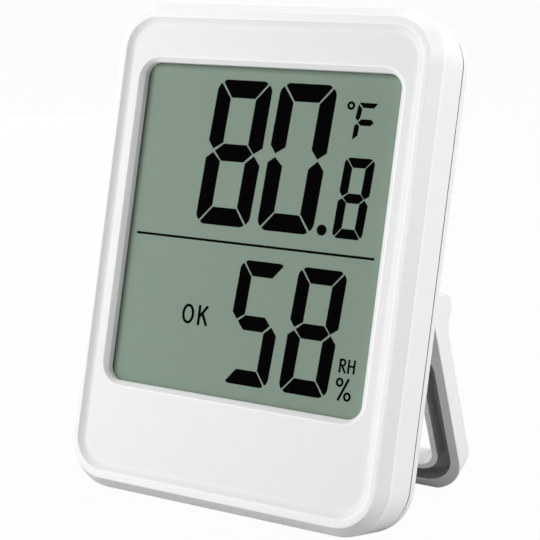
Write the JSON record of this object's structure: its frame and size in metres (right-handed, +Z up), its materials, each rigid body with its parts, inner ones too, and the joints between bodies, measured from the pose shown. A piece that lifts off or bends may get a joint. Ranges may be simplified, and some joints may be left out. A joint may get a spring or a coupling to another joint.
{
  "type": "temperature humidity sensor",
  "caption": "Palm-size white desk display for temperature and humidity: rounded case, large reflective display, raised battery box and folding frame stand behind.",
  "frame": {"origin": "middle of the footprint of the standing object, on the table", "axes": "+X to the right seen from the front, +Y from the display to the stand, +Z up; the case leans back onto the open stand"},
  "size_m": [0.06, 0.0394, 0.0821],
  "materials": {
    "shell": "satin moulded plastic",
    "display_film": "satin film",
    "display_glass": "clear",
    "reflector": "matt foil",
    "foam": "foam",
    "elastomer": "soft",
    "board": "solder mask",
    "resin": "satin",
    "chip": "ceramic",
    "steel": "plated",
    "cell_jacket": "printed jacket",
    "key": "satin"
  },
  "bodies": {
    "case": {"front_housing": "shell", "back_cover": "shell", "lcd_polarizer": "display_film", "lcd_front_glass": "display_glass", "lcd_rear_glass": "display_glass", "lcd_reflector": "reflector", "display_cushion": "foam", "zebra_strip": "elastomer", "circuit_board": "board", "controller_blob": "resin", "climate_sensor": "chip", "crystal_can": "steel", "chip_capacitors": "chip", "tact_switches": "resin", "board_screws": "steel", "housing_screws": "steel", "battery_cell": "cell_jacket", "positive_contact": "steel", "negative_spring": "steel", "magnets": "steel"},
    "stand": {"stand_frame": "shell"},
    "door": {"battery_door": "shell"},
    "unit_key": {"unit_button": "key"},
    "memory_key": {"memory_button": "key"}
  },
  "joints": [
    {"name": "stand_fold", "type": "hinge", "parent": "case", "child": "stand", "pos_m": [0, 0.00455, 0.03455], "axis": [-1, 0, 0], "range_deg": [0, 38]},
    {"name": "battery_door_slide", "type": "slide", "parent": "case", "child": "door", "axis": [1, 0, 0], "range_m": [0, 0.024]},
    {"name": "unit_button_press", "type": "slide", "parent": "case", "child": "unit_key", "axis": [0, -0.971, 0.2391], "range_m": [0, 0.0005], "stiffness_N_per_m": 500, "springref_m": -0.0003},
    {"name": "memory_button_press", "type": "slide", "parent": "case", "child": "memory_key", "axis": [0, -0.971, 0.2391], "range_m": [0, 0.0005], "stiffness_N_per_m": 500, "springref_m": -0.0003}
  ]
}
